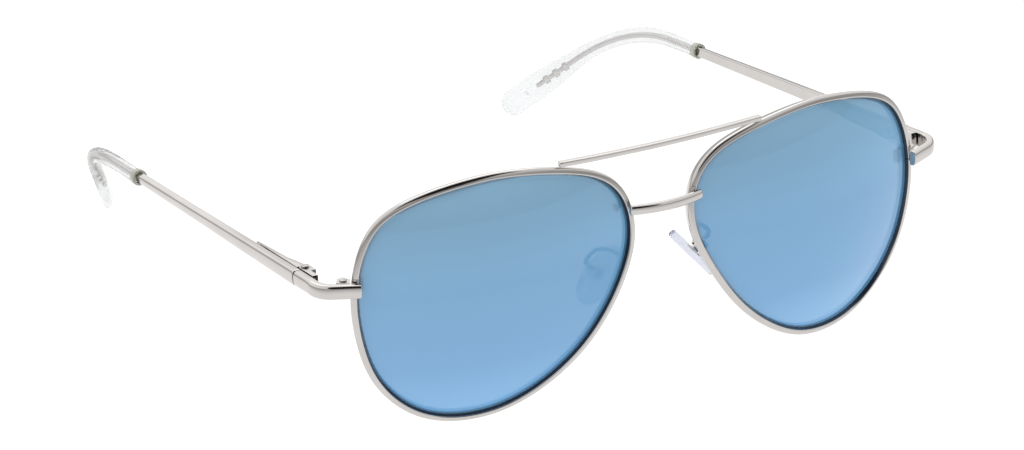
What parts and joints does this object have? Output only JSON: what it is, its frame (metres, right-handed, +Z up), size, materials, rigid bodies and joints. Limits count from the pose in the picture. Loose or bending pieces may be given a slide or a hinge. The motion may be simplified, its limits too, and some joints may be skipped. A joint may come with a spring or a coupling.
{
  "type": "sunglasses",
  "caption": "Open aviator sunglasses: wire rims, curved mirror lenses, straight brow bar over a bowed bridge, folding bar temples with clear tips, screwed-on nose pads.",
  "frame": {"origin": "on the surface the open sunglasses stand on, under the middle of their overall box", "axes": "-Y the way the lenses face, +Y back along the temples, +X to the wearer's left, +Z up from the surface; the front stands on both rims and leans over its lower edge until both tips touch down"},
  "size_m": [0.1446, 0.1576, 0.0529],
  "materials": {
    "metal": "polished silver-coloured plating on wire, bar and small turned parts",
    "lens": "blue mirror coat, slightly see-through",
    "clear": "clear, smooth moulded",
    "collar": "translucent grey-green, smooth"
  },
  "bodies": {
    "front": {"brow_bar": "metal", "bridge": "metal", "rim_left": "metal", "lens_left": "lens", "closing_block_upper_left": "metal", "closing_block_lower_left": "metal", "rim_screw_left": "metal", "end_piece_left": "metal", "hinge_leaf_front_left": "metal", "hinge_screw_left": "metal", "pad_arm_left": "metal", "pad_box_left": "metal", "pad_screw_left": "metal", "rim_right": "metal", "lens_right": "lens", "closing_block_upper_right": "metal", "closing_block_lower_right": "metal", "rim_screw_right": "metal", "end_piece_right": "metal", "hinge_leaf_front_right": "metal", "hinge_screw_right": "metal", "pad_arm_right": "metal", "pad_box_right": "metal", "pad_screw_right": "metal"},
    "temple_left": {"temple_left": "metal", "hinge_leaf_temple_left": "metal", "tip_collar_left": "collar", "temple_tip_left": "clear"},
    "pad_left": {"nose_pad_left": "clear", "pad_insert_left": "metal"},
    "temple_right": {"temple_right": "metal", "hinge_leaf_temple_right": "metal", "tip_collar_right": "collar", "temple_tip_right": "clear"},
    "pad_right": {"nose_pad_right": "clear", "pad_insert_right": "metal"}
  },
  "joints": [
    {"name": "temple_left_fold", "type": "hinge", "parent": "front", "child": "temple_left", "pos_m": [0.06871, -0.05382, 0.03227], "axis": [-0.0048, 0.0582, 0.9983], "range_deg": [0, 85]},
    {"name": "temple_right_fold", "type": "hinge", "parent": "front", "child": "temple_right", "pos_m": [-0.06871, -0.05382, 0.03227], "axis": [-0.0048, -0.0582, -0.9983], "range_deg": [0, 75]},
    {"name": "nose_pad_left_rock", "type": "hinge", "parent": "front", "child": "pad_left", "pos_m": [0.01216, -0.06874, 0.02533], "axis": [0.1736, 0.9835, 0.0508], "range_deg": [-10, 10]},
    {"name": "nose_pad_right_rock", "type": "hinge", "parent": "front", "child": "pad_right", "pos_m": [-0.01216, -0.06874, 0.02533], "axis": [0.1736, -0.9835, -0.0508], "range_deg": [-10, 10]}
  ]
}
